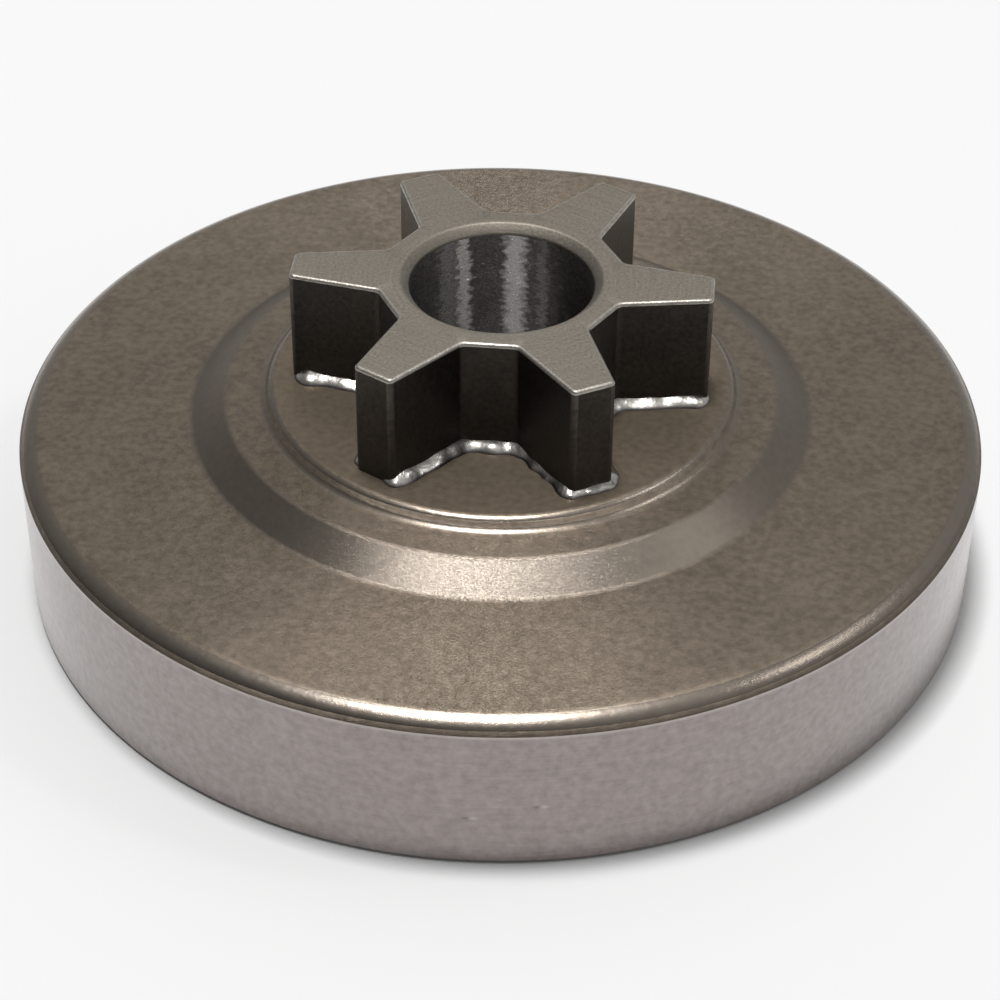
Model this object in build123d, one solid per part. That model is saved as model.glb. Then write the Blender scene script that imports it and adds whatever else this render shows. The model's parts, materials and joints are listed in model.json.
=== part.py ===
from build123d import *

import os
from math import atan2, degrees, hypot, radians, sqrt, tan

# Chainsaw spur sprocket: a pressed steel clutch drum with a toothed sprocket brazed on its face.
# Sizes are in millimetres, angles in degrees. The origin is on the axis, in the plane of the drum's
# open rim, and +Z points along the axis to the teeth. One tooth lies on +X.

# Clutch drum, a cup pressed from steel sheet
drum_diameter = 69.0
drum_height = 11.9
sheet = 2.0
wall_corner = 1.5
inner_corner = 0.8
rim_break = 0.3

# Raised middle of the drum's face, from the sprocket outwards: seat, step, flat ring, slope
seat_margin = 1.2
step_top_break = 0.25
step_wall = 0.25
step_foot_break = 0.3
ring_width = 2.75
slope_rise = 1.6
slope_run = 2.5
slope_bend = 1.5

# Sprocket with straight teeth, machined from bar
tooth_count = 6
tooth_length = 8.5
tip_diameter = 29.8
tooth_tip_width = 3.1
tooth_taper = 10.0
root_fillet = 0.6
tip_break = 0.3
top_break = 0.25
bore_diameter = 13.0
bore_chamfer = 0.6
hub_wall = 2.1

# Spigot under the sprocket that locates in the drum's centre hole
spigot_wall = 1.5
spigot_clearance = 0.05
spigot_proud = 0.5

# Filler metal round the foot of the teeth, low and wide, with little of it past their tips
bead_width = 0.9
bead_height = 0.6
bead_past_tip = 0.4

# Levels above the rim
step_rise = step_foot_break + step_wall + step_top_break
ring_z = drum_height + slope_rise
seat_z = ring_z + step_rise
top_z = seat_z + tooth_length
spigot_z = seat_z - sheet - spigot_proud

# Radii that follow from the sizes above
wall_r = drum_diameter / 2
bore_r = bore_diameter / 2
root_r = bore_r + hub_wall
tip_r = tip_diameter / 2
spigot_r = bore_r + spigot_wall
seat_r = tip_r + bead_past_tip + seat_margin
step_r = seat_r + step_top_break
ring_r = step_r + step_foot_break
slope_top_r = ring_r + ring_width
slope_foot_r = slope_top_r + slope_run


def clutch_drum():
    """Revolve the section of the sheet: the outer outline, then the inner one a sheet's thickness below."""
    hole_r = spigot_r + spigot_clearance
    step_shift = sheet * tan(atan2(step_rise, ring_r - seat_r) / 2)
    slope_shift = sheet * tan(atan2(slope_rise, slope_run) / 2)
    outer = FilletPolyline(
        (wall_r - rim_break, 0),
        (wall_r, rim_break),
        (wall_r, drum_height),
        (slope_foot_r, drum_height),
        (slope_top_r, ring_z),
        (ring_r, ring_z),
        (step_r, ring_z + step_foot_break),
        (step_r, seat_z - step_top_break),
        (seat_r, seat_z),
        (hole_r, seat_z),
        radius=[0, wall_corner, slope_bend, 0, 0, 0, 0, 0],
    )
    inner = Polyline(
        (hole_r, seat_z),
        (hole_r, seat_z - sheet),
        (seat_r - step_shift, seat_z - sheet),
        (ring_r - step_shift, ring_z - sheet),
        (slope_top_r - slope_shift, ring_z - sheet),
        (slope_foot_r - slope_shift, drum_height - sheet),
        (wall_r - sheet - inner_corner, drum_height - sheet),
        (wall_r - sheet, drum_height - sheet - inner_corner),
        (wall_r - sheet, rim_break),
        (wall_r - sheet + rim_break, 0),
        (wall_r - rim_break, 0),
    )
    return revolve(Plane.XZ * make_face(outer + inner), Axis.Z)


def tooth():
    """One straight-sided tooth along +X, widening from the tip circle down to the axis."""
    half_tip = tooth_tip_width / 2
    tip_x = sqrt(tip_r**2 - half_tip**2)
    growth = tan(radians(tooth_taper))
    half_axis = half_tip + growth * tip_x
    half_end = half_tip - growth * (tip_r - tip_x)
    return make_face(
        Polyline((0, -half_axis), (tip_r, -half_end), (tip_r, half_end), (0, half_axis), close=True)
    )


def toothed_outline():
    """A polygon whose flats are the roots, with a tooth on each corner, cut off at the tip circle."""
    star = RegularPolygon(root_r, tooth_count, major_radius=False)
    star += [Rot(0, 0, 360 / tooth_count * i) * tooth() for i in range(tooth_count)]
    star &= Circle(tip_r)
    middle_r = (root_r + tip_r) / 2
    star = fillet([v for v in star.vertices() if hypot(v.X, v.Y) < middle_r], root_fillet)
    return fillet([v for v in star.vertices() if hypot(v.X, v.Y) > middle_r], tip_break)


def spur_sprocket():
    """Extrude the teeth, break their upper edge, add the spigot and bore the whole through."""
    teeth = extrude(toothed_outline(), tooth_length)
    teeth = chamfer(teeth.faces().sort_by(Axis.Z)[-1].edges(), top_break)
    spigot = extrude(Circle(spigot_r), seat_z - spigot_z)
    mouth_r = bore_r + bore_chamfer
    bore = make_face(
        Polyline(
            (0, spigot_z),
            (mouth_r, spigot_z),
            (bore_r, spigot_z + bore_chamfer),
            (bore_r, top_z - bore_chamfer),
            (mouth_r, top_z),
            (0, top_z),
            close=True,
        )
    )
    blank = Pos(0, 0, seat_z) * teeth + Pos(0, 0, spigot_z) * spigot
    return blank - revolve(Plane.XZ * bore, Axis.Z)


def braze_bead():
    """A bead with a sloping face that stands on the seat and leans on the foot of the teeth."""
    outline = toothed_outline()
    spread = offset(outline, bead_width) & Circle(tip_r + bead_past_tip)
    lean = degrees(atan2(bead_width, bead_height))
    bead = extrude(spread, bead_height, taper=lean) - extrude(outline, bead_height)
    return Pos(0, 0, seat_z) * bead


os.makedirs("parts", exist_ok=True)
export_step(clutch_drum(), "parts/clutch_drum.step")
export_step(spur_sprocket(), "parts/spur_sprocket.step")
export_step(braze_bead(), "parts/braze_bead.step")
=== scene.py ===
# %% [markdown]
# # A chainsaw's spur sprocket
# The part is a shallow drum pressed from steel sheet, with a six-toothed sprocket brazed on its face. The
# solid model gives the sizes and the frame. This lesson dresses it: each of its three pieces is modelled
# again with the small bends and uneven edges that the light picks out, and gets metals of its own.

# %% Load the solid model
import json
from math import atan2, cos, exp, pi, radians, sin, sqrt, tan

import bmesh
import bpy
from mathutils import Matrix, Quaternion, Vector, noise


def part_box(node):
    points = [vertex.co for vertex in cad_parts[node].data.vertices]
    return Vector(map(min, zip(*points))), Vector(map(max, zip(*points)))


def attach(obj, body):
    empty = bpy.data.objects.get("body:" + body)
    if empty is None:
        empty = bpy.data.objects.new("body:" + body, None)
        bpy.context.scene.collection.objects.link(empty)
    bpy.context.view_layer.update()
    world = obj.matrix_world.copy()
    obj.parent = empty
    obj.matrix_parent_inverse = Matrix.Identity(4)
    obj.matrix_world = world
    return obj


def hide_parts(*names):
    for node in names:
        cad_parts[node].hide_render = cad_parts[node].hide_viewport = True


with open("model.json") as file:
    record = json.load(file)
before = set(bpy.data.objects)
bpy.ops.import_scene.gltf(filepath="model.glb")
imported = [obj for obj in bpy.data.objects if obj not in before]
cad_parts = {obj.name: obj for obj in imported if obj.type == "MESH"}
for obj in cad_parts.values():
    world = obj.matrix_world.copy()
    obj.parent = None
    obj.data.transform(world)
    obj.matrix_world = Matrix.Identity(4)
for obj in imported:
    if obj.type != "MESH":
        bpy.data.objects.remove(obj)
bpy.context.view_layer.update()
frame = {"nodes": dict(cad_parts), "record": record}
print("nodes of the solid model:", sorted(frame["nodes"]))

# %% [markdown]
# ## Sizes
# Blender counts in metres, and a part this small is easier to read in millimetres, so every size below is
# in millimetres and a finished mesh is scaled once. The main sizes are measured on the solid model. Only
# what its boxes can't tell, such as the bends of the sheet, is written down where it is first needed.

# %% Measure the solid model
MM = 0.001

drum_box = [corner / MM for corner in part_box("clutch_drum")]
teeth_box = [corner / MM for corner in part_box("spur_sprocket")]
bead_box = [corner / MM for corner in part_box("braze_bead")]
mounts = {mount["name"]: mount["dims"] for mount in frame["record"]["mounts"]}

wall_r = drum_box[1].x
seat_z = drum_box[1].z
tip_r = teeth_box[1].x
top_z = teeth_box[1].z
spigot_z = teeth_box[0].z
bore_r = mounts["bearing_bore"]["r_mm"]
inside_r = mounts["clutch_wall"]["r_mm"]
sheet = wall_r - inside_r
bead_past_tip = bead_box[1].x - tip_r
bead_height = bead_box[1].z - seat_z
print(f"drum {2 * wall_r:.1f} mm across, sheet {sheet:.1f} mm, bore {2 * bore_r:.1f} mm, top {top_z:.1f} mm")

# %% [markdown]
# ## Shapes turned on the axis
# The drum and the bore are round, so a section and one turn make them. The section starts as a few corner
# points. A vertex bevel rounds each corner, which keeps the list short and the bends true, and spin
# carries the section round the axis. Rings of worked-out vertices would give the same mesh, but nobody
# could read them.

# %% A helper that turns a section
segments_per_mm = 6
fewest_segments = 3


def turn_section(bm, corners, closed, steps):
    """Round the (radius, height, rounding) corners of a section and spin it once round the axis."""
    earlier = bm.verts[:]
    points = [bm.verts.new((radius, 0, height)) for radius, height, _ in corners]
    ends = points[1:] + points[:1] if closed else points[1:]
    for start, end in zip(points, ends):
        bm.edges.new((start, end))
    for point, (_, _, rounding) in zip(points, corners):
        if rounding:
            bmesh.ops.bevel(
                bm, geom=[point], offset=rounding, offset_type="OFFSET", affect="VERTICES",
                segments=max(fewest_segments, round(segments_per_mm * rounding)), profile=0.5, material=-1,
            )
    section = [v for v in bm.verts if v not in earlier]
    edges = dict.fromkeys(e for v in section for e in v.link_edges)
    bmesh.ops.spin(
        bm, geom=section + list(edges), cent=(0, 0, 0), axis=(0, 0, 1), dvec=(0, 0, 0),
        angle=2 * pi, steps=steps, use_merge=True,
    )


# %% A helper that cleans a mesh
merge_distance = 1e-4


def clean(bm):
    """Merge what coincides and point every face outwards."""
    bmesh.ops.remove_doubles(bm, verts=bm.verts, dist=merge_distance)
    bmesh.ops.recalc_face_normals(bm, faces=bm.faces)


# %% [markdown]
# ## The clutch drum
# The real drum is one cup of 2 mm sheet. Going inwards on its face there is a rounded corner, a flat, a
# slope up to a narrow ring and a small step up to the seat of the sprocket. The press leaves a soft
# hollow at the foot of the step and a tighter bend at its top, and those two give the bright and dark
# lines in the light. The wall was turned after pressing, so its turning cuts into the corner and leaves a
# crisp edge there: the corner's arc is not tangent to the wall but meets it at an angle.

# %% Sizes of the drum
drum_height = 11.9
slope_rise, slope_run = 1.6, 2.5
step_rise, step_run = seat_z - drum_height - slope_rise, 0.55
ring_width = 2.75
seat_margin = 1.2
spigot_wall, spigot_clearance = 1.5, 0.05

spigot_r = bore_r + spigot_wall
hole_r = spigot_r + spigot_clearance
ring_z = drum_height + slope_rise
seat_r = tip_r + bead_past_tip + seat_margin
ring_r = seat_r + step_run
slope_top_r = ring_r + ring_width
slope_foot_r = slope_top_r + slope_run
step_shift = sheet * tan(atan2(step_rise, step_run) / 2)
slope_shift = sheet * tan(atan2(slope_rise, slope_run) / 2)
print(f"radii: seat {seat_r:.2f} mm, ring {ring_r:.2f} mm, slope {slope_top_r:.2f} to {slope_foot_r:.2f} mm")

# %% Turn the drum
corner_reach, corner_drop, corner_edge = 1.75, 0.9, 0.06
corner_bend = (corner_reach**2 + corner_drop**2) / (2 * corner_reach)
rim_bend = 0.3
slope_foot_bend, slope_top_bend = 0.25, 0.2
step_foot_bend, step_top_bend = 0.5, 0.42
hole_bend, inner_step_bend, inner_slope_bend, inner_corner = 0.2, 0.3, 0.4, 0.8
drum_steps = 256

drum_section = [
    (wall_r, 0, rim_bend),
    (wall_r, drum_height - corner_drop, corner_edge),
    (wall_r - corner_reach + corner_bend, drum_height, corner_bend - 2 * corner_edge),
    (slope_foot_r, drum_height, slope_foot_bend),
    (slope_top_r, ring_z, slope_top_bend),
    (ring_r, ring_z, step_foot_bend),
    (seat_r, seat_z, step_top_bend),
    (hole_r, seat_z, 0),
    (hole_r, seat_z - sheet, hole_bend),
    (seat_r - step_shift, seat_z - sheet, inner_step_bend),
    (ring_r - step_shift, ring_z - sheet, inner_step_bend),
    (slope_top_r - slope_shift, ring_z - sheet, inner_slope_bend),
    (slope_foot_r - slope_shift, drum_height - sheet, inner_slope_bend),
    (inside_r, drum_height - sheet, inner_corner),
    (inside_r, 0, rim_bend),
]
drum_mesh = bmesh.new()
turn_section(drum_mesh, drum_section, closed=True, steps=drum_steps)
clean(drum_mesh)
print("drum:", len(drum_mesh.faces), "faces")

# %% [markdown]
# ## Which face gets which finish
# The face, the turned wall and the inside of the drum are three finishes on one mesh. Painting them on by
# hand would be lost with the next change of size. So each face asks how far it leans outwards, and gets
# the slot of its material from that. The rounded corner also gets a number for wear, which its material
# reads later.

# %% Sort the drum's faces
FACE, WALL, INSIDE = 0, 1, 2
wall_lean, inside_lean = 0.9, -0.999
corner_leans = (0.1, 0.7)

drum_wear = drum_mesh.faces.layers.float.new("wear")
for face in drum_mesh.faces:
    middle = face.calc_center_median()
    radius = middle.xy.length
    lean = Vector((middle.x, middle.y, 0)).normalized().dot(face.normal)
    on_corner = radius > inside_r and middle.z > drum_height - sheet
    if lean > wall_lean:
        face.material_index = WALL
    elif lean < inside_lean and radius > hole_r + sheet:
        face.material_index = INSIDE
    elif on_corner and corner_leans[0] < lean < corner_leans[1]:
        face[drum_wear] = 1.0
print("worn faces on the corner:", sum(face[drum_wear] > 0 for face in drum_mesh.faces))

# %% [markdown]
# ## The outline of the teeth
# The sprocket is a bar with six straight teeth. Its roots are the flats of a hexagon, and each tooth
# narrows a little towards its tip. One tooth needs five points: spin with duplicates makes the other five
# teeth. The same function, grown outwards by a margin, later gives the foot of the braze.

# %% A helper that draws the toothed outline
tooth_count = 6
tooth_taper = radians(10)
tooth_tip_width = 3.1
hub_wall = 2.1
root_r = bore_r + hub_wall
corner_segments = 5
join_distance = 1e-3


def toothed_outline(grow, past_tip, root_rounding, tip_rounding):
    """A wire of the toothed outline in a new mesh, grown sideways and past the tips, with rounded corners."""
    half_step = pi / tooth_count
    slope = tan(tooth_taper)
    tip = tip_r + past_tip
    half_tip = tooth_tip_width / 2 + grow / cos(tooth_taper) - past_tip * slope
    tip_x = sqrt(tip**2 - half_tip**2)
    half_axis = half_tip + slope * tip_x
    root_x = (root_r + grow - half_axis * sin(half_step)) / (cos(half_step) - slope * sin(half_step))
    root = Vector((root_x, half_axis - slope * root_x, 0))
    next_root = Vector((root.x, -root.y, 0))
    next_root.rotate(Quaternion((0, 0, 1), 2 * half_step))

    bm = bmesh.new()
    corners = [(root.x, -root.y, 0), (tip_x, -half_tip, 0), (tip_x, half_tip, 0), root, next_root]
    points = [bm.verts.new(corner) for corner in corners]
    for start, end in zip(points, points[1:]):
        bm.edges.new((start, end))
    bmesh.ops.spin(
        bm, geom=bm.verts[:] + bm.edges[:], cent=(0, 0, 0), axis=(0, 0, 1), dvec=(0, 0, 0),
        angle=2 * pi, steps=tooth_count, use_duplicate=True,
    )
    bmesh.ops.remove_doubles(bm, verts=bm.verts, dist=join_distance)
    middle_r = (root_r + tip_r) / 2
    inner = [v for v in bm.verts if v.co.length < middle_r]
    outer = [v for v in bm.verts if v.co.length > middle_r]
    for corner_points, rounding in ((inner, root_rounding), (outer, tip_rounding)):
        bmesh.ops.bevel(
            bm, geom=corner_points, offset=rounding, offset_type="OFFSET", affect="VERTICES",
            segments=corner_segments, profile=0.5, material=-1,
        )
    return bm


# %% [markdown]
# ## The sprocket
# The outline becomes one flat face, is pulled up to the full height of the teeth, and its upper edge is
# broken with a small bevel: the thin bright line round the top. The bevel comes before the hole, while
# the top is still a single face and every corner is clean. Then the two caps come off, the bore is turned
# through the middle, and triangles fill the flat rings between bore and teeth. Cutting the bore with a
# boolean would leave long thin faces beside the bevel, and they would show in the highlights.

# %% Raise the teeth and break their upper edge
root_bend, tip_bend = 0.28, 0.34
top_break, break_segments = 0.25, 3
near = 0.01

teeth_mesh = toothed_outline(0, 0, root_rounding=root_bend, tip_rounding=tip_bend)
bmesh.ops.edgeloop_fill(teeth_mesh, edges=teeth_mesh.edges)
bmesh.ops.translate(teeth_mesh, verts=teeth_mesh.verts, vec=(0, 0, seat_z))
raised = bmesh.ops.extrude_face_region(teeth_mesh, geom=teeth_mesh.faces[:])["geom"]
raised_points = [part for part in raised if isinstance(part, bmesh.types.BMVert)]
bmesh.ops.translate(teeth_mesh, verts=raised_points, vec=(0, 0, top_z - seat_z))

teeth_wear = teeth_mesh.faces.layers.float.new("wear")
top_edges = [e for e in teeth_mesh.edges if all(v.co.z > top_z - near for v in e.verts)]
broken = bmesh.ops.bevel(
    teeth_mesh, geom=top_edges, offset=top_break, offset_type="OFFSET", affect="EDGES",
    segments=break_segments, profile=0.5, material=-1,
)
for face in broken["faces"]:
    face[teeth_wear] = 1.0
caps = [f for f in teeth_mesh.faces if len(f.verts) > 4]
bmesh.ops.delete(teeth_mesh, geom=caps, context="FACES_ONLY")
print("edge faces:", len(broken["faces"]), "and caps taken off:", len(caps))

# %% Turn the bore and the spigot
bore_break, mouth_margin = 0.6, 0.25
bore_bend, spigot_bend = 0.12, 0.15
bore_steps = 128

bore_section = [
    (bore_r + bore_break + mouth_margin, top_z, 0),
    (bore_r + bore_break, top_z, bore_bend),
    (bore_r, top_z - bore_break, bore_bend),
    (bore_r, spigot_z + bore_break, bore_bend),
    (bore_r + bore_break, spigot_z, bore_bend),
    (spigot_r, spigot_z, spigot_bend),
    (spigot_r, seat_z, 0),
]
turn_section(teeth_mesh, bore_section, closed=False, steps=bore_steps)
open_edges = [e for e in teeth_mesh.edges if e.is_boundary]
for level in (seat_z, top_z):
    ring = [e for e in open_edges if all(abs(v.co.z - level) < near for v in e.verts)]
    bmesh.ops.triangle_fill(teeth_mesh, edges=ring, use_beauty=True, use_dissolve=False)
clean(teeth_mesh)
print("sprocket:", len(teeth_mesh.faces), "faces, open edges:", sum(e.is_boundary for e in teeth_mesh.edges))

# %% Sort the sprocket's faces
TOP, BORE, FLANK = 0, 1, 2
upright = 0.1
tip_zone = 0.5
corner_area = 3.0

for face in teeth_mesh.faces:
    radius = face.calc_center_median().xy.length
    if abs(face.normal.z) < upright:
        face.material_index = BORE if radius < bore_r + near else FLANK
        if radius > tip_r - tip_zone and face.calc_area() < corner_area:
            face[teeth_wear] = 1.0
print("faces in the bore:", sum(face.material_index == BORE for face in teeth_mesh.faces))

# %% [markdown]
# ## The braze
# Filler metal was melted into the corner between the teeth and the seat, and it set in uneven lumps. It
# stands in drops at the corners of the front teeth and is thin or missing elsewhere. A tube along the
# outline would be too even. So the grown outline is one flat face at the foot, and inset moves its edge
# back to the teeth and lifts it, which makes the sloping face of the bead. Its edge is cut fine first, so
# that there are points enough for the lumps.

# %% Draw the bead's sloping face
bead_width, bead_depth, bead_bury = 0.9, 0.15, 0.25
bead_root_bend, bead_tip_bend = 0.3, 1.25
bead_foot_z = seat_z - bead_depth
bead_rise = bead_height + bead_depth
longest_edge = 0.15
slope_rows = 8

bead_mesh = toothed_outline(
    bead_width, bead_past_tip, root_rounding=bead_root_bend, tip_rounding=bead_tip_bend
)
long_edges = bead_mesh.edges[:]
while long_edges:
    bmesh.ops.subdivide_edges(bead_mesh, edges=long_edges, cuts=1)
    long_edges = [e for e in bead_mesh.edges if e.calc_length() > longest_edge]
bmesh.ops.edgeloop_fill(bead_mesh, edges=bead_mesh.edges)
bead_mesh.normal_update()
if bead_mesh.faces[:][0].normal.z < 0:
    bmesh.ops.reverse_faces(bead_mesh, faces=bead_mesh.faces)
bmesh.ops.translate(bead_mesh, verts=bead_mesh.verts, vec=(0, 0, bead_foot_z))
bmesh.ops.inset_region(
    bead_mesh, faces=bead_mesh.faces[:], thickness=bead_width + bead_bury, depth=bead_rise,
    use_boundary=True, use_even_offset=True,
)
lids = [f for f in bead_mesh.faces if len(f.verts) > 4]
bmesh.ops.delete(bead_mesh, geom=lids, context="FACES_ONLY")
cross_edges = [e for e in bead_mesh.edges if abs(e.verts[0].co.z - e.verts[1].co.z) > bead_rise / 2]
bmesh.ops.subdivide_edges(bead_mesh, edges=cross_edges, cuts=slope_rows - 1, use_grid_fill=True)
print("rows of the bead:", slope_rows, "faces:", len(bead_mesh.faces))

# %% [markdown]
# ## Lumps and drops
# Each point of the bead is pushed up and outwards. A crown rounds its section and a noise makes the
# lumps. The drops and the bare spots are listed one by one, each as x, y and a height, because they are
# where the filler ran on this one part. The two open edges are found before anything moves, while their
# heights still tell them apart.

# %% Push the bead into lumps
bead_crown, bead_lift = 0.12, 0.75
lump_size, lump_height = 1.3, 0.16
broad_reach, small_reach = 0.8, 0.35
broad_drops = [
    (7.7, -13.4, 0.65), (6.1, -14.0, 0.35), (8.9, -12.5, 0.35), (-6.0, -13.9, 0.30), (-4.9, -12.6, 0.15),
    (-13.6, -2.5, 0.30), (0.3, -9.3, 0.25), (-2.2, -9.4, 0.25), (14.2, -2.2, 0.25),
]
bare_spots = [
    (2.6, -10.2, -0.25), (3.6, -11.3, -0.30), (4.7, -12.4, -0.30), (-7.6, -13.2, -0.30),
    (-8.9, -12.3, -0.30), (-15.2, 0.0, -0.30), (-15.1, -1.3, -0.20), (15.2, 0.0, -0.30),
]
small_drops = [(6.2, -14.1, 0.30), (8.9, -12.5, 0.30), (-5.9, -14.2, 0.30)]
drops = [(broad_drops + bare_spots, broad_reach), (small_drops, small_reach)]

bead_mesh.normal_update()
open_edges = [e for e in bead_mesh.edges if e.is_boundary]
upper = [e for e in open_edges if all(v.co.z > seat_z for v in e.verts)]
lower = [e for e in open_edges if e not in upper]
for point in bead_mesh.verts:
    across = (point.co.z - bead_foot_z) / bead_rise
    swell = bead_crown * 4 * across * (1 - across)
    swell += lump_height * noise.noise(point.co / lump_size)
    for places, reach in drops:
        for x, y, height in places:
            swell += height * exp(-((point.co.xy - Vector((x, y))).length / reach) ** 2)
    out = point.normal.xy * (1 - across)
    point.co += Vector((out.x, out.y, bead_lift)) * swell
print("points of the bead:", len(bead_mesh.verts))

# %% Close the bead underneath
for point in {v for e in lower for v in e.verts}:
    point.co.z = bead_foot_z
dropped = bmesh.ops.extrude_edge_only(bead_mesh, edges=upper)["geom"]
for part in dropped:
    if isinstance(part, bmesh.types.BMVert):
        part.co.z = bead_foot_z
bottom = [part for part in dropped if isinstance(part, bmesh.types.BMEdge)]
bmesh.ops.bridge_loops(bead_mesh, edges=bottom + lower)
clean(bead_mesh)
print("braze:", len(bead_mesh.faces), "faces, open edges:", sum(e.is_boundary for e in bead_mesh.edges))

# %% [markdown]
# ## Nodes
# A metal's finish is drawn by nodes. Wiring them one by one takes many lines, so a few small helpers keep
# it readable: one places a node and fills its inputs by name, one opens a group with named sockets, and
# the others wrap the sums that come up again and again. An effect that several metals share is a group,
# built once and placed in each with its own values.


# %% Helpers that place nodes
def put(tree, kind, inputs, **options):
    """Place a shader node, set its options, link or set its inputs, and return its outputs."""
    made = tree.nodes.new("ShaderNode" + kind)
    for option, value in options.items():
        setattr(made, option, value)
    for socket, value in inputs.items():
        if isinstance(value, bpy.types.NodeSocket):
            tree.links.new(value, made.inputs[socket])
        else:
            made.inputs[socket].default_value = value
    return made.outputs


def put_group(tree, group, inputs):
    """Place a node group in a material and return its outputs."""
    return put(tree, "Group", inputs, node_tree=group)


def new_group(name, inputs, outputs):
    """Open a node group and return it with the sockets it is given and the sockets it has to fill."""
    tree = bpy.data.node_groups.new(name, "ShaderNodeTree")
    for socket, kind in inputs.items():
        tree.interface.new_socket(socket, in_out="INPUT", socket_type="NodeSocket" + kind)
    for socket, kind in outputs.items():
        tree.interface.new_socket(socket, in_out="OUTPUT", socket_type="NodeSocket" + kind)
    return tree, tree.nodes.new("NodeGroupInput").outputs, tree.nodes.new("NodeGroupOutput").inputs


# %% Helpers that work out values
def reckon(tree, operation, *values):
    """Work out one value from up to three others."""
    return put(tree, "Math", dict(enumerate(values)), operation=operation)["Value"]


def stretch(tree, value, low, high, to_low, to_high):
    """Spread a value from one range over another and stop it at the ends."""
    limits = {"Value": value, "From Min": low, "From Max": high, "To Min": to_low, "To Max": to_high}
    return put(tree, "MapRange", limits)["Result"]


def band(tree, value, place, core, reach, strength):
    """A mask that is full within a core on both sides of a place and gone beyond its reach."""
    away = reckon(tree, "ABSOLUTE", reckon(tree, "SUBTRACT", value, place))
    return stretch(tree, away, core, reach, strength, 0.0)


def blend(tree, mask, first, second):
    """Mix two colours by a mask."""
    return put(tree, "Mix", {0: mask, 6: first, 7: second}, data_type="RGBA")[2]


# %% [markdown]
# ## Tumbled grain
# Tumbling with stones leaves a fine even grain on the pressed face, and broad faint clouds where the
# stones reached less. Both are noises, one fine and one coarse. They come out as masks, so that each
# metal decides whether they change its colour, its roughness or its relief.

# %% Build the tumbled grain
cloud_scale = 0.16
speckle_form = {"Detail": 2.0, "Roughness": 0.5}
cloud_form = {"Scale": cloud_scale, "Detail": 3.0, "Roughness": 0.55}

grain_group, given, wanted = new_group(
    "Tumbled grain", {"Position": "Vector", "Size": "Float"}, {"Grain": "Float", "Cloud": "Float"}
)
fineness = reckon(grain_group, "DIVIDE", 1.0, given["Size"])
speckle = put(
    grain_group, "TexNoise", {"Vector": given["Position"], "Scale": fineness, **speckle_form}
)["Fac"]
cloud = put(grain_group, "TexNoise", {"Vector": given["Position"], **cloud_form})["Fac"]
grain_group.links.new(stretch(grain_group, speckle, 0.3, 0.7, 0.0, 1.0), wanted["Grain"])
grain_group.links.new(stretch(grain_group, cloud, 0.35, 0.65, 0.0, 1.0), wanted["Cloud"])
print("group:", grain_group.name)

# %% [markdown]
# ## Tool lines
# A lathe leaves lines that run round the axis. An image of scratches would show a seam. A noise that
# changes quickly across the lines and slowly along them draws them without one: its third coordinate
# counts the lines, and the first two only make them start and stop.

# %% Build the tool lines
line_form = {"Scale": 1.0, "Detail": 1.0, "Roughness": 0.5}

line_group, given, wanted = new_group(
    "Tool lines",
    {"Position": "Vector", "Across": "Float", "Spacing": "Float", "Run": "Float"},
    {"Lines": "Float"},
)
along = put(
    line_group, "VectorMath", {0: given["Position"], "Scale": given["Run"]}, operation="SCALE"
)["Vector"]
turns = put(line_group, "SeparateXYZ", {"Vector": along})
rows = reckon(line_group, "DIVIDE", given["Across"], given["Spacing"])
drawn = put(line_group, "CombineXYZ", {"X": turns["X"], "Y": turns["Y"], "Z": rows})["Vector"]
marks = put(line_group, "TexNoise", {"Vector": drawn, **line_form})["Fac"]
line_group.links.new(stretch(line_group, marks, 0.3, 0.7, 0.0, 1.0), wanted["Lines"])
print("group:", line_group.name)

# %% [markdown]
# ## Worn edges
# Handling and tumbling brighten broken edges, in spots and not evenly. The meshes carry a number for wear
# on the faces of such edges. The group breaks it up with a noise, and never takes it away altogether.

# %% Build the worn edges
spot_form = {"Scale": 1.4, "Detail": 3.0, "Roughness": 0.7}
least_wear = 0.35

wear_group, given, wanted = new_group(
    "Worn edge", {"Position": "Vector", "Wear": "Float"}, {"Mask": "Float"}
)
spots = put(wear_group, "TexNoise", {"Vector": given["Position"], **spot_form})["Fac"]
kept = stretch(wear_group, spots, 0.35, 0.55, least_wear, 1.0)
wear_group.links.new(reckon(wear_group, "MULTIPLY", kept, given["Wear"]), wanted["Mask"])
print("group:", wear_group.name)

# %% [markdown]
# ## The metals
# Every surface is bare steel or silver braze, so each material is a metal whose colour, roughness and
# bump come from masks. The pressed face is dull and warm, the turned wall is lighter and cooler, and the
# braze is the brightest. The bump distances are real heights, so they hold if the camera comes closer.


# %% Helpers that open and dress a metal
def new_metal(name):
    """A metal with nothing drawn on it yet, with its node tree, its shader's inputs and the place in mm."""
    material = bpy.data.materials.new(name)
    material.use_nodes = True
    tree = material.node_tree
    shader = tree.nodes["Principled BSDF"].inputs
    shader["Metallic"].default_value = 1.0
    place = put(tree, "TexCoord", {})["Object"]
    position = put(tree, "VectorMath", {0: place, "Scale": 1 / MM}, operation="SCALE")["Vector"]
    return material, tree, shader, position


def height_of(tree, position):
    """Height above the rim."""
    return put(tree, "SeparateXYZ", {"Vector": position})["Z"]


def wear_of(tree, position):
    """The wear that the mesh carries on its faces, even and broken up into spots."""
    even = put(tree, "Attribute", {}, attribute_name="wear")["Fac"]
    return even, put_group(tree, wear_group, {"Position": position, "Wear": even})["Mask"]


def lay(tree, shader, mask, colour):
    """Lay a colour over the base colour where a mask is 1."""
    below = shader["Base Color"].links[0].from_socket
    tree.links.new(blend(tree, mask, below, colour), shader["Base Color"])


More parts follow.
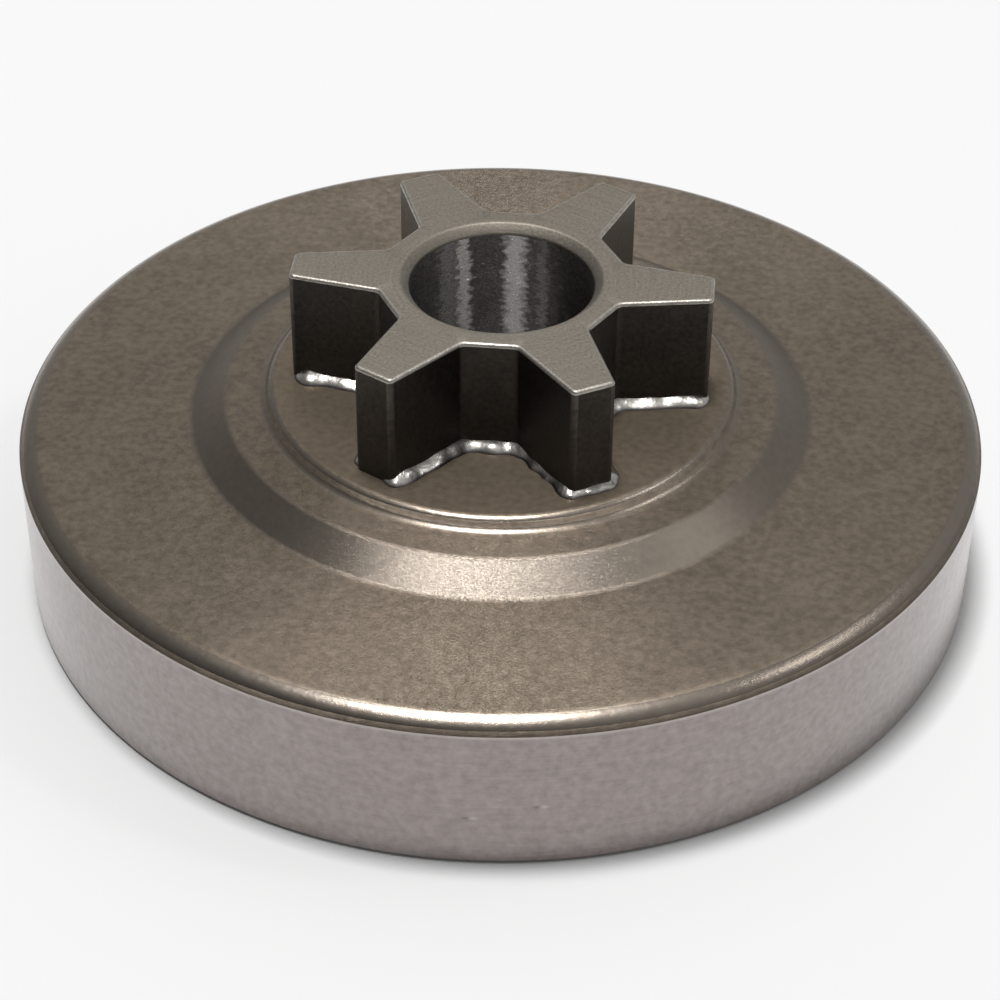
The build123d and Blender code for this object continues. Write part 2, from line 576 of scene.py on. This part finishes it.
def relief(tree, shader, height, depth):
    """Feed a height mask to the shader as a bump of a real depth in millimetres."""
    bump = put(tree, "Bump", {"Height": height, "Distance": depth * MM, "Strength": 1.0})
    tree.links.new(bump["Normal"], shader["Normal"])


# %% [markdown]
# ## The pressed face
# The face was faced on a lathe and then tumbled, so fine strokes run round the axis under the grain. They
# fan the light out across the strokes: that is the broad soft shine in front of the teeth and behind
# them. Anisotropic shading could imitate it, but a real relief of strokes also fades where the metal is
# burnished.

# %% Start the pressed face
face_dark, face_light = (0.180, 0.147, 0.113, 1), (0.304, 0.250, 0.195, 1)
face_grain = 0.55
cloud_share = 0.35
stroke_spacing, stroke_run = 0.025, 5.0


def across_face(tree, position):
    """Distance from the axis, less the height: it grows steadily over the face and down round its bends."""
    parts = put(tree, "SeparateXYZ", {"Vector": position})
    level = put(tree, "CombineXYZ", {"X": parts["X"], "Y": parts["Y"]})["Vector"]
    radius = put(tree, "VectorMath", {0: level}, operation="LENGTH")["Value"]
    return reckon(tree, "SUBTRACT", radius, parts["Z"])


face_steel, tree, shader, position = new_metal("tumbled_face")
across = across_face(tree, position)
level = height_of(tree, position)
grain = put_group(tree, grain_group, {"Position": position, "Size": face_grain})
strokes = put_group(
    tree, line_group,
    {"Position": position, "Across": across, "Spacing": stroke_spacing, "Run": stroke_run},
)["Lines"]
tone = reckon(tree, "MULTIPLY_ADD", grain["Cloud"], cloud_share, grain["Grain"])
tone = stretch(tree, tone, 0.0, 1 + cloud_share, 0.0, 1.0)
tree.links.new(blend(tree, tone, face_dark, face_light), shader["Base Color"])
print("metal:", face_steel.name)

# %% [markdown]
# ## Burnished bends
# The press and the tumbling rub the bends hardest. The outer corner, the two bends of the small step and
# the whole slope are smoother than the flat face, so the lamp shows in them as short bright arcs. The
# corner's mask comes from the wear on its faces and fades in below the level of the face. The others are
# bands at a given distance across the face, with a core, a reach and a strength each.

# %% Find the burnished bends
seat_edge = seat_r - seat_z
step_foot = ring_r - ring_z
slope_middle = (slope_top_r - ring_z + slope_foot_r - drum_height) / 2
slope_half = (slope_run + slope_rise) / 2
slope_polish = 0.38
step_bands = [(seat_edge + 0.15, 0.14, 0.35, 0.7), (step_foot - 0.1, 0.2, 0.5, 0.5)]
slope_band = (slope_middle, slope_half - 0.4, slope_half + 0.3, slope_polish)
corner_polish, corner_spots = 0.45, 0.4
corner_top, corner_full = drum_height - 0.02, drum_height - 0.10

even, spotted = wear_of(tree, position)
below_face = stretch(tree, level, corner_full, corner_top, 1.0, 0.0)
burnished = reckon(tree, "MULTIPLY_ADD", spotted, corner_spots, corner_polish)
burnished = reckon(tree, "MULTIPLY", burnished, even)
burnished = reckon(tree, "MULTIPLY", burnished, below_face)
slope_mask = band(tree, across, *slope_band)
for mask in [band(tree, across, *step_band) for step_band in step_bands] + [slope_mask]:
    burnished = reckon(tree, "MAXIMUM", burnished, mask)
print("burnished bands:", len(step_bands) + 1)

# %% [markdown]
# ## Colours and relief of the face
# Brazing heat left a brown tint on the seat. The slope is a little greyer than the flat. The foot of the
# corner is darkened with painted shade, for the dim room that it mirrors. Each is a colour laid over the
# steel by a mask. Burnished places are less rough and have less of the strokes, but keep some grain, so
# that their highlights stay a little uneven.

# %% Colour and roughen the face
corner_bright, corner_painted_shade = (0.28, 0.244, 0.209, 1), (0.080, 0.064, 0.053, 1)
heat_tint = (0.135, 0.105, 0.074, 1)
slope_dull = (0.180, 0.158, 0.136, 1)
heat_share, slope_share, corner_shade_share = 0.5, 0.55, 0.75
corner_shade_full, corner_shade_end = drum_height - 0.8, drum_height - 0.4
face_roughness, burnished_roughness, heat_roughness = 0.39, 0.25, 0.15
full_polish = 0.5

heated = stretch(tree, across, seat_edge - 0.5, seat_edge - 0.1, 1.0, 0.0)
lay(tree, shader, reckon(tree, "MULTIPLY", heated, heat_share), heat_tint)
lay(tree, shader, burnished, corner_bright)
lay(tree, shader, stretch(tree, slope_mask, 0.0, slope_polish, 0.0, slope_share), slope_dull)
# Painted shade: the foot of the corner is darkened towards the wall, for the dark that it mirrors.
lay(tree, shader, stretch(tree, level, corner_shade_full, corner_shade_end, corner_shade_share, 0.0), corner_painted_shade)
polished = stretch(tree, burnished, 0.0, full_polish, face_roughness, burnished_roughness)
dulled = reckon(tree, "MULTIPLY_ADD", heated, heat_roughness, polished)
tree.links.new(dulled, shader["Roughness"])
print("roughness of the face:", face_roughness, "and where burnished:", burnished_roughness)

# %% Give the face its strokes
stroke_depth = 0.0108
grain_share, burnished_grain = 0.25, 0.6
strokes_left = [(heated, 1.0, 0.3), (burnished, full_polish, 0.12)]

height = reckon(tree, "MULTIPLY_ADD", grain["Grain"], grain_share, strokes)
for mask, full, left in strokes_left:
    height = reckon(tree, "MULTIPLY", height, stretch(tree, mask, 0.0, full, 1.0, left))
speckled = reckon(tree, "MULTIPLY", burnished, grain["Grain"])
height = reckon(tree, "MULTIPLY_ADD", speckled, burnished_grain, height)
relief(tree, shader, height, stroke_depth)
print("strokes", stroke_depth, "mm deep and", stroke_spacing, "mm apart")

# %% [markdown]
# ## The turned wall
# The wall was turned last. It is lighter than the face, with faint lines round it and a film of oil, for
# which the shader's coat stands. A painted highlight, a bright line, marks the sharp edge at its top. The
# inside and the bore are turned too, so one function makes all three, each with lines of its own.

# %% A helper that makes turned steel
turned_grain = 0.6
line_share = 0.4
line_roughness = 0.1


def turned_steel(name, dark, light, spacing, run, depth, roughness):
    """Steel with lathe lines across the height, over a faint grain."""
    material, tree, shader, position = new_metal(name)
    level = height_of(tree, position)
    lines = put_group(
        tree, line_group, {"Position": position, "Across": level, "Spacing": spacing, "Run": run}
    )["Lines"]
    grain = put_group(tree, grain_group, {"Position": position, "Size": turned_grain})
    tone = reckon(tree, "MULTIPLY_ADD", lines, line_share, grain["Grain"])
    tone = stretch(tree, tone, 0.0, 1 + line_share, 0.0, 1.0)
    tree.links.new(blend(tree, tone, dark, light), shader["Base Color"])
    tree.links.new(stretch(tree, lines, 0.0, 1.0, roughness, roughness + line_roughness), shader["Roughness"])
    relief(tree, shader, lines, depth)
    return material, tree, shader, position


# %% Make the wall, inside and outside
wall_dark, wall_light = (0.235, 0.200, 0.187, 1), (0.345, 0.300, 0.285, 1)
wall_edge_highlight = (0.55, 0.51, 0.47, 1)
wall_top = drum_height - corner_drop
highlight_width, highlight_share = 0.25, 0.6
oil_film, oil_roughness = 0.9, 0.2

inside_steel, *_ = turned_steel(
    "turned_inside", wall_dark, wall_light, spacing=0.2, run=0.1, depth=0.01, roughness=0.35
)
wall_steel, tree, shader, position = turned_steel(
    "turned_wall", wall_dark, wall_light, spacing=0.12, run=0.25, depth=0.005, roughness=0.32
)
shader["Coat Weight"].default_value = oil_film
shader["Coat Roughness"].default_value = oil_roughness
level = height_of(tree, position)
# Painted highlight: a bright band just below the top of the wall, where its sharp edge catches the light.
lay(tree, shader, stretch(tree, level, wall_top - highlight_width, wall_top, 0.0, highlight_share), wall_edge_highlight)
print("metals:", inside_steel.name, wall_steel.name)

# %% [markdown]
# ## Two nicks in the wall
# The wall has two small knocks at the front. They are far too shallow to model, so each is laid on as
# colour round one point, stretched along the wall: a dark spot of painted shade in the dent, and a painted
# highlight beside it on its burr.

# %% Nick the wall
nicks = [(1.2, -34.5, 4.0), (5.7, -34.0, 5.0)]
nick_form = (0.6, 1.0, 1.5)
nick_burr = (0.45, 0.0, 0.0)
nick_shade, nick_highlight = (0.10, 0.09, 0.083, 1), (0.50, 0.45, 0.43, 1)
nick_core, nick_reach, nick_share = 0.05, 0.28, 0.6

# Painted shade and highlight: each knock gets a dark spot and, beside it, a bright spot on the wall's colour.
for nick in nicks:
    for place, colour in ((nick, nick_shade), (Vector(nick) + Vector(nick_burr), nick_highlight)):
        away = put(tree, "VectorMath", {0: position, 1: place}, operation="SUBTRACT")["Vector"]
        away = put(tree, "VectorMath", {0: away, 1: nick_form}, operation="MULTIPLY")["Vector"]
        away = put(tree, "VectorMath", {0: away}, operation="LENGTH")["Value"]
        lay(tree, shader, stretch(tree, away, nick_core, nick_reach, nick_share, 0.0), colour)
print("nicks:", len(nicks))

# %% [markdown]
# ## The bore
# The bore is dark, with fine turning. Bright upright stripes on it are painted reflections of the lamps,
# at given places to the left and right as seen from the front. Straight stripes would look painted, so a
# coarse noise frays their sides.

# %% Turn the bore and paint its reflections
bore_dark, bore_light = (0.110, 0.101, 0.096, 1), (0.19, 0.177, 0.17, 1)
painted_streak_colour = (0.80, 0.765, 0.74, 1)
streak_way = (0.9957, 0.0924, 0)
painted_streaks = [(0.95, 1.0, 0.95), (-2.75, 0.6, 0.95), (-3.9, 0.8, 0.3), (2.95, 0.5, 0.2)]
streak_core = 0.4
fray, fray_spacing, fray_run = 0.5, 0.3, 1.6

bore_steel, tree, shader, position = turned_steel(
    "turned_bore", bore_dark, bore_light, spacing=0.035, run=4.0, depth=0.04, roughness=0.24
)
frayed = put_group(
    tree, line_group,
    {"Position": position, "Across": height_of(tree, position), "Spacing": fray_spacing, "Run": fray_run},
)["Lines"]
# The stripes are placed along the camera's right-hand direction, as seen from the front.
side = put(tree, "VectorMath", {0: position, 1: streak_way}, operation="DOT_PRODUCT")["Value"]
side = reckon(tree, "MULTIPLY_ADD", frayed, fray, side)
# Painted reflections: bright upright stripes laid on the bore's colour at fixed places across the view.
for place, reach, strength in painted_streaks:
    mark = band(tree, side, place + fray / 2, streak_core * reach, reach, strength)
    lay(tree, shader, mark, painted_streak_colour)
print("metal:", bore_steel.name, "with", len(painted_streaks), "painted reflections")

# %% [markdown]
# ## The top of the teeth
# The top was faced on the lathe and is matt and pale. Faint lines run round the bore, and the broken edge
# shines where the wear has reached it. A plain grey would look like plastic here, because the lines tell
# the eye that the surface was cut.

# %% Face the top
top_dark, top_light = (0.213, 0.189, 0.157, 1), (0.308, 0.279, 0.238, 1)
edge_bright = (0.46, 0.43, 0.385, 1)
top_grain, top_depth = 0.2, 0.008
facing_spacing, facing_run, facing_share = 0.2, 0.25, 0.5
top_roughness, edge_polish = (0.52, 0.64), -0.2

top_steel, tree, shader, position = new_metal("faced_top")
grain = put_group(tree, grain_group, {"Position": position, "Size": top_grain})
across = across_face(tree, position)
lines = put_group(
    tree, line_group,
    {"Position": position, "Across": across, "Spacing": facing_spacing, "Run": facing_run},
)["Lines"]
tone = reckon(tree, "MULTIPLY_ADD", lines, facing_share, grain["Grain"])
tone = stretch(tree, tone, 0.0, 1 + facing_share, 0.0, 1.0)
tree.links.new(blend(tree, tone, top_dark, top_light), shader["Base Color"])
_, worn = wear_of(tree, position)
lay(tree, shader, worn, edge_bright)
matt = stretch(tree, grain["Grain"], 0.0, 1.0, *top_roughness)
tree.links.new(reckon(tree, "MULTIPLY_ADD", worn, edge_polish, matt), shader["Roughness"])
relief(tree, shader, grain["Grain"], top_depth)
print("metal:", top_steel.name)

# %% [markdown]
# ## The flanks of the teeth
# The flanks are dark: partly a dark skin from heat treatment, and partly painted shade, as their colour is
# darkened for the dark surroundings that they mirror. Only the upright corners at the tips are rubbed
# lighter, more so towards the top. The same wear that brightens the top is used again, faded with the
# height.

# %% Darken the flanks
flank_skin_and_shade_dark, flank_skin_and_shade_light = (0.050, 0.044, 0.040, 1), (0.090, 0.080, 0.072, 1)
corner_worn = (0.15, 0.135, 0.12, 1)
flank_grain, flank_depth = 0.3, 0.006
flank_roughness = (0.34, 0.44)
rub_start, rub_least = seat_z + 1.0, 0.15

flank_steel, tree, shader, position = new_metal("skin_and_shade_flank")
grain = put_group(tree, grain_group, {"Position": position, "Size": flank_grain})
tone = stretch(tree, reckon(tree, "ADD", grain["Cloud"], grain["Grain"]), 0.0, 2.0, 0.0, 1.0)
# Painted shade, in part: the flank's colour is darker than the top's steel for the dark it mirrors, over a
# real dark skin.
tree.links.new(blend(tree, tone, flank_skin_and_shade_dark, flank_skin_and_shade_light), shader["Base Color"])
_, worn = wear_of(tree, position)
rubbed = stretch(tree, height_of(tree, position), rub_start, top_z, rub_least, 1.0)
lay(tree, shader, reckon(tree, "MULTIPLY", worn, rubbed), corner_worn)
tree.links.new(stretch(tree, grain["Grain"], 0.0, 1.0, *flank_roughness), shader["Roughness"])
relief(tree, shader, grain["Grain"], flank_depth)
print("metal:", flank_steel.name)

# %% [markdown]
# ## The silver braze
# The filler is the brightest metal on the part, because nothing has touched it since it set. A thin dark
# line of painted shade runs along its foot, where it meets the seat. The lumps are in the mesh already, so
# the material only needs a light grain.

# %% Make the silver braze
braze_dark, braze_light = (0.44, 0.41, 0.38, 1), (0.68, 0.65, 0.61, 1)
bead_painted_shade = (0.07, 0.055, 0.055, 1)
bead_shade_full, bead_shade_end, bead_shade_share = seat_z + 0.05, seat_z + 0.2, 0.9
braze_grain, braze_depth = 0.5, 0.012
braze_roughness = (0.36, 0.26)

braze_silver, tree, shader, position = new_metal("silver_braze")
grain = put_group(tree, grain_group, {"Position": position, "Size": braze_grain})
tree.links.new(blend(tree, grain["Grain"], braze_dark, braze_light), shader["Base Color"])
level = height_of(tree, position)
# Painted shade: a dark band along the foot of the bead, just above the seat.
lay(tree, shader, stretch(tree, level, bead_shade_full, bead_shade_end, bead_shade_share, 0.0), bead_painted_shade)
tree.links.new(stretch(tree, grain["Grain"], 0.0, 1.0, *braze_roughness), shader["Roughness"])
relief(tree, shader, grain["Grain"], braze_depth)
print("metal:", braze_silver.name)

# %% [markdown]
# ## Pieces
# A mesh becomes a piece in four steps: scale it to metres, shade it smooth but keep its true edges sharp,
# let the large flat faces set the shading of the small bends beside them, and hang it on the root body
# while the solid it stands for is hidden.

# %% Finish the three pieces
sharp_angle = radians(40)


def finish_piece(bm, name, metals, solid):
    """Turn a mesh in millimetres into a piece that replaces one solid of the frame."""
    bmesh.ops.scale(bm, vec=(MM, MM, MM), verts=bm.verts)
    mesh = bpy.data.meshes.new(name)
    bm.to_mesh(mesh)
    bm.free()
    mesh.shade_smooth()
    mesh.set_sharp_from_angle(angle=sharp_angle)
    for metal in metals:
        mesh.materials.append(metal)
    piece = bpy.data.objects.new(name, mesh)
    bpy.context.scene.collection.objects.link(piece)
    even = piece.modifiers.new("Even shading", "WEIGHTED_NORMAL")
    even.keep_sharp = True
    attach(piece, "root")
    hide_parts(solid)
    print("piece", name, "with", len(mesh.polygons), "faces")


drum_metals = [face_steel, wall_steel, inside_steel]
teeth_metals = [top_steel, bore_steel, flank_steel]
finish_piece(drum_mesh, "pressed_drum", drum_metals, "clutch_drum")
finish_piece(teeth_mesh, "toothed_sprocket", teeth_metals, "spur_sprocket")
finish_piece(bead_mesh, "silver_bead", [braze_silver], "braze_bead")

# %% [markdown]
# ## The floor
# The part stands on a plain white floor, and the wall mirrors it. One large disc is enough, a hair below
# the rim. It is open to a camera below it, so that the underside can be looked at: seen from behind it is
# clear.

# %% Lay the floor
floor_reach = 4.0
floor_drop = 0.02
floor_sides = 64
floor_white = (0.83, 0.83, 0.83, 1)

floor_mesh = bmesh.new()
bmesh.ops.create_circle(floor_mesh, cap_ends=True, segments=floor_sides, radius=floor_reach)
bmesh.ops.translate(floor_mesh, verts=floor_mesh.verts, vec=(0, 0, -floor_drop * MM))
floor_data = bpy.data.meshes.new("floor")
floor_mesh.to_mesh(floor_data)
floor_mesh.free()
floor = bpy.data.objects.new("floor", floor_data)
bpy.context.scene.collection.objects.link(floor)

paper = bpy.data.materials.new("white_floor")
paper.use_nodes = True
tree = paper.node_tree
tree.nodes.remove(tree.nodes["Principled BSDF"])
matt = put(tree, "BsdfDiffuse", {"Color": floor_white})["BSDF"]
clear = put(tree, "BsdfTransparent", {})["BSDF"]
from_below = put(tree, "NewGeometry", {})["Backfacing"]
one_sided = put(tree, "MixShader", {0: from_below, 1: matt, 2: clear})["Shader"]
tree.links.new(one_sided, tree.nodes["Material Output"].inputs["Surface"])
floor_data.materials.append(paper)
print("floor:", floor_reach, "m from the middle to its edge")

# %% [markdown]
# ## The surroundings
# Bare metal shows little but what it mirrors, so the surroundings matter as much as the lamps. The room
# is an even grey that gets dim to the left and behind the camera. An image of a studio would do the same,
# but it would hide where the light comes from.

# %% Build the room
scene = bpy.context.scene
scene.view_settings.view_transform = "Standard"
dim_side = Vector((-0.8, -0.58, 0.1)).normalized()
room_level, dim_level = 0.44, 0.15
dim_start, dim_full = -0.1, 0.7

world = bpy.data.worlds.new("studio")
scene.world = world
world.use_nodes = True
tree = world.node_tree
way = put(tree, "TexCoord", {})["Generated"]
towards_dim = put(tree, "VectorMath", {0: way, 1: dim_side}, operation="DOT_PRODUCT")["Value"]
strength = stretch(tree, towards_dim, dim_start, dim_full, room_level, dim_level)
tree.links.new(strength, tree.nodes["Background"].inputs["Strength"])
tree.nodes["Background"].inputs["Color"].default_value = (1, 1, 1, 1)
print("room:", room_level, "and on its dim side:", dim_level)

# %% [markdown]
# ## The lamps
# One soft lamp hangs nearly overhead and a little to the left. It lights the floor and gives the bright
# arcs on the slope and the corner at the front. Two weak ones to the right and behind add the second,
# fainter arcs. Brightness is set as the lamp's own radiance, because that is what the metal mirrors, and
# the power follows from it.

# %% Hang the lamps
lamp_distance = 1.0


def soft_lamp(name, azimuth, elevation, size, radiance):
    """A square lamp that looks at the part; its power follows from how bright its face has to be."""
    data = bpy.data.lights.new(name, "AREA")
    data.size = size
    data.energy = radiance * pi * size**2
    lamp = bpy.data.objects.new(name, data)
    scene.collection.objects.link(lamp)
    a, e = radians(azimuth), radians(elevation)
    lamp.location = Vector((sin(a) * cos(e), -cos(a) * cos(e), sin(e))) * lamp_distance
    lamp.rotation_mode = "QUATERNION"
    lamp.rotation_quaternion = lamp.location.to_track_quat("Z", "Y")
    print("lamp", name, "power", round(data.energy, 2), "W")


soft_lamp("overhead_lamp", azimuth=-112, elevation=85.8, size=0.18, radiance=75.0)
soft_lamp("right_lamp", azimuth=102, elevation=54, size=0.12, radiance=10.0)
soft_lamp("rear_lamp", azimuth=118, elevation=50, size=0.08, radiance=6.0)

# %% [markdown]
# ## Camera
# A long lens, about 20 cm away, looks down on the part from the front. A small roll levels the picture as
# the photograph has it. Aiming by a track quaternion is shorter than turning the camera by three angles.

# %% Place the camera
camera_azimuth, camera_elevation = radians(5.3), radians(38.32)
camera_distance = 196.85 * MM
aim_height = 3.07 * MM
camera_roll = radians(0.49)
focal_length = 94.48
nearest = 0.01

lens = bpy.data.cameras.new("camera")
lens.lens = focal_length
lens.clip_start = nearest
camera = bpy.data.objects.new("camera", lens)
scene.collection.objects.link(camera)
scene.camera = camera
back = Vector((
    sin(camera_azimuth) * cos(camera_elevation),
    -cos(camera_azimuth) * cos(camera_elevation),
    sin(camera_elevation),
))
camera.location = back * camera_distance
camera.rotation_mode = "QUATERNION"
facing = (Vector((0, 0, aim_height)) - camera.location).to_track_quat("-Z", "Y")
camera.rotation_quaternion = facing @ Quaternion((0, 0, 1), camera_roll)
print("camera at", [round(v, 4) for v in camera.location])
